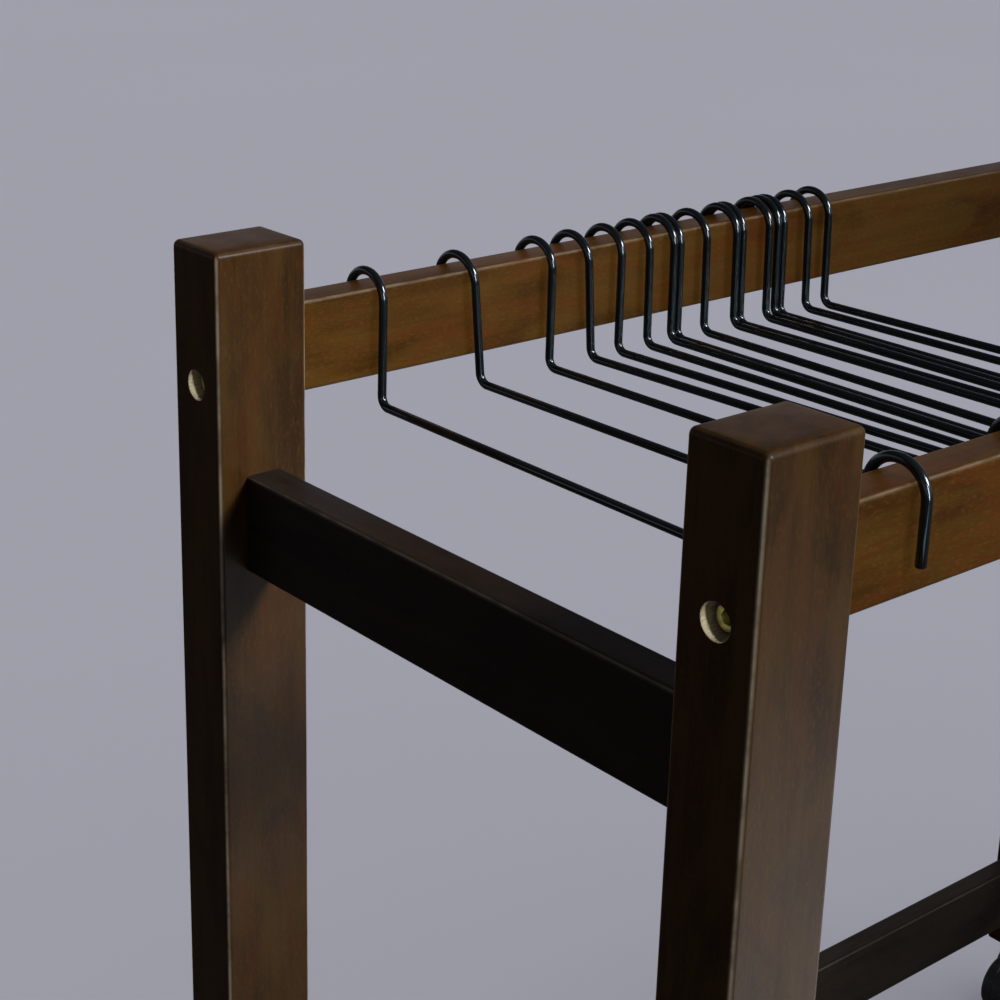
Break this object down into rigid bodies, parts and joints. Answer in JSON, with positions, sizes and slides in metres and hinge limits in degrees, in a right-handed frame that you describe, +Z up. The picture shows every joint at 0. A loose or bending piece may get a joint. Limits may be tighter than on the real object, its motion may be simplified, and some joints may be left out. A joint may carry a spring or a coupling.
{
  "type": "rolling hanging rack",
  "caption": "Low wooden frame on swivel casters, with loose black wires hooked over its two top rails as a sliding hanging surface.",
  "frame": {"origin": "on the floor under the middle of the rack", "axes": "+X along the rails to the right, -Y the front, +Z up"},
  "size_m": [0.69, 0.33, 0.64],
  "materials": {
    "leg_wood": "dark walnut stain under satin lacquer, upright grain",
    "rail_wood": "dark walnut stain under satin lacquer, grain along the rail",
    "stretcher_wood": "dark walnut stain under satin lacquer, grain along the stretcher",
    "black_wire": "smooth gloss black coating",
    "yellow_zinc": "yellow zinc plate",
    "bright_zinc": "bright zinc plate",
    "black_plate": "satin black enamel",
    "wheel_rubber": "matt black moulding"
  },
  "bodies": {
    "frame": {"leg_front_left": "leg_wood", "leg_front_right": "leg_wood", "leg_rear_left": "leg_wood", "leg_rear_right": "leg_wood", "top_rail_front": "rail_wood", "lower_rail_front": "rail_wood", "top_rail_rear": "rail_wood", "lower_rail_rear": "rail_wood", "top_stretcher_left": "stretcher_wood", "lower_stretcher_left": "stretcher_wood", "top_stretcher_right": "stretcher_wood", "lower_stretcher_right": "stretcher_wood", "bolt_top_front_left": "yellow_zinc", "barrel_nut_top_front_left": "yellow_zinc", "bolt_top_front_right": "yellow_zinc", "barrel_nut_top_front_right": "yellow_zinc", "bolt_top_rear_left": "yellow_zinc", "barrel_nut_top_rear_left": "yellow_zinc", "bolt_top_rear_right": "yellow_zinc", "barrel_nut_top_rear_right": "yellow_zinc", "bolt_lower_front_left": "yellow_zinc", "barrel_nut_lower_front_left": "yellow_zinc", "bolt_lower_front_right": "yellow_zinc", "barrel_nut_lower_front_right": "yellow_zinc", "bolt_lower_rear_left": "yellow_zinc", "barrel_nut_lower_rear_left": "yellow_zinc", "bolt_lower_rear_right": "yellow_zinc", "barrel_nut_lower_rear_right": "yellow_zinc", "caster_front_left_stem": "bright_zinc", "caster_front_right_stem": "bright_zinc", "caster_rear_left_stem": "bright_zinc", "caster_rear_right_stem": "bright_zinc"},
    "wire_01": {"wire_01": "black_wire"},
    "wire_02": {"wire_02": "black_wire"},
    "wire_03": {"wire_03": "black_wire"},
    "wire_04": {"wire_04": "black_wire"},
    "wire_05": {"wire_05": "black_wire"},
    "wire_06": {"wire_06": "black_wire"},
    "wire_07": {"wire_07": "black_wire"},
    "wire_08": {"wire_08": "black_wire"},
    "wire_09": {"wire_09": "black_wire"},
    "wire_10": {"wire_10": "black_wire"},
    "wire_11": {"wire_11": "black_wire"},
    "wire_12": {"wire_12": "black_wire"},
    "wire_13": {"wire_13": "black_wire"},
    "wire_14": {"wire_14": "black_wire"},
    "wire_15": {"wire_15": "black_wire"},
    "wire_16": {"wire_16": "black_wire"},
    "caster_front_left_swivel": {"caster_front_left_fork": "black_plate", "caster_front_left_axle": "bright_zinc"},
    "caster_front_left_roller": {"caster_front_left_wheel": "wheel_rubber"},
    "caster_front_right_swivel": {"caster_front_right_fork": "black_plate", "caster_front_right_axle": "bright_zinc"},
    "caster_front_right_roller": {"caster_front_right_wheel": "wheel_rubber"},
    "caster_rear_left_swivel": {"caster_rear_left_fork": "black_plate", "caster_rear_left_axle": "bright_zinc"},
    "caster_rear_left_roller": {"caster_rear_left_wheel": "wheel_rubber"},
    "caster_rear_right_swivel": {"caster_rear_right_fork": "black_plate", "caster_rear_right_axle": "bright_zinc"},
    "caster_rear_right_roller": {"caster_rear_right_wheel": "wheel_rubber"}
  },
  "joints": [
    {"name": "wire_01_slide", "type": "slide", "parent": "frame", "child": "wire_01", "axis": [1, 0, 0], "range_m": [-0.0355, 0.0233]},
    {"name": "wire_02_slide", "type": "slide", "parent": "frame", "child": "wire_02", "axis": [1, 0, 0], "range_m": [-0.0233, 0.0189]},
    {"name": "wire_03_slide", "type": "slide", "parent": "frame", "child": "wire_03", "axis": [1, 0, 0], "range_m": [-0.0189, 0.0089]},
    {"name": "wire_04_slide", "type": "slide", "parent": "frame", "child": "wire_04", "axis": [1, 0, 0], "range_m": [-0.0089, 0.0053]},
    {"name": "wire_05_slide", "type": "slide", "parent": "frame", "child": "wire_05", "axis": [1, 0, 0], "range_m": [-0.0053, 0.0038]},
    {"name": "wire_06_slide", "type": "slide", "parent": "frame", "child": "wire_06", "axis": [1, 0, 0], "range_m": [-0.0038, 0.0041]},
    {"name": "wire_07_slide", "type": "slide", "parent": "frame", "child": "wire_07", "axis": [1, 0, 0], "range_m": [-0.0041, 0]},
    {"name": "wire_08_slide", "type": "slide", "parent": "frame", "child": "wire_08", "axis": [1, 0, 0], "range_m": [0, 0.006]},
    {"name": "wire_09_slide", "type": "slide", "parent": "frame", "child": "wire_09", "axis": [1, 0, 0], "range_m": [-0.006, 0.0084]},
    {"name": "wire_10_slide", "type": "slide", "parent": "frame", "child": "wire_10", "axis": [1, 0, 0], "range_m": [-0.0084, 0]},
    {"name": "wire_11_slide", "type": "slide", "parent": "frame", "child": "wire_11", "axis": [1, 0, 0], "range_m": [0, 0.0025]},
    {"name": "wire_12_slide", "type": "slide", "parent": "frame", "child": "wire_12", "axis": [1, 0, 0], "range_m": [-0.0025, 0.001]},
    {"name": "wire_13_slide", "type": "slide", "parent": "frame", "child": "wire_13", "axis": [1, 0, 0], "range_m": [-0.001, 0]},
    {"name": "wire_14_slide", "type": "slide", "parent": "frame", "child": "wire_14", "axis": [1, 0, 0], "range_m": [0, 0.0071]},
    {"name": "wire_15_slide", "type": "slide", "parent": "frame", "child": "wire_15", "axis": [1, 0, 0], "range_m": [-0.0071, 0.0052]},
    {"name": "wire_16_slide", "type": "slide", "parent": "frame", "child": "wire_16", "axis": [1, 0, 0], "range_m": [-0.0052, 0.25]},
    {"name": "caster_front_left_swivel_turn", "type": "hinge", "parent": "frame", "child": "caster_front_left_swivel", "pos_m": [-0.3225, -0.14825, 0.047], "axis": [0, 0, 1], "continuous": true},
    {"name": "caster_front_left_wheel_roll", "type": "hinge", "parent": "caster_front_left_swivel", "child": "caster_front_left_roller", "pos_m": [-0.3065, -0.14825, 0.02], "axis": [0, 1, 0], "continuous": true},
    {"name": "caster_front_right_swivel_turn", "type": "hinge", "parent": "frame", "child": "caster_front_right_swivel", "pos_m": [0.3225, -0.14825, 0.047], "axis": [0, 0, 1], "continuous": true},
    {"name": "caster_front_right_wheel_roll", "type": "hinge", "parent": "caster_front_right_swivel", "child": "caster_front_right_roller", "pos_m": [0.3065, -0.14825, 0.02], "axis": [0, 1, 0], "continuous": true},
    {"name": "caster_rear_left_swivel_turn", "type": "hinge", "parent": "frame", "child": "caster_rear_left_swivel", "pos_m": [-0.3225, 0.14825, 0.047], "axis": [0, 0, 1], "continuous": true},
    {"name": "caster_rear_left_wheel_roll", "type": "hinge", "parent": "caster_rear_left_swivel", "child": "caster_rear_left_roller", "pos_m": [-0.3065, 0.14825, 0.02], "axis": [0, 1, 0], "continuous": true},
    {"name": "caster_rear_right_swivel_turn", "type": "hinge", "parent": "frame", "child": "caster_rear_right_swivel", "pos_m": [0.3225, 0.14825, 0.047], "axis": [0, 0, 1], "continuous": true},
    {"name": "caster_rear_right_wheel_roll", "type": "hinge", "parent": "caster_rear_right_swivel", "child": "caster_rear_right_roller", "pos_m": [0.3065, 0.14825, 0.02], "axis": [0, 1, 0], "continuous": true}
  ]
}
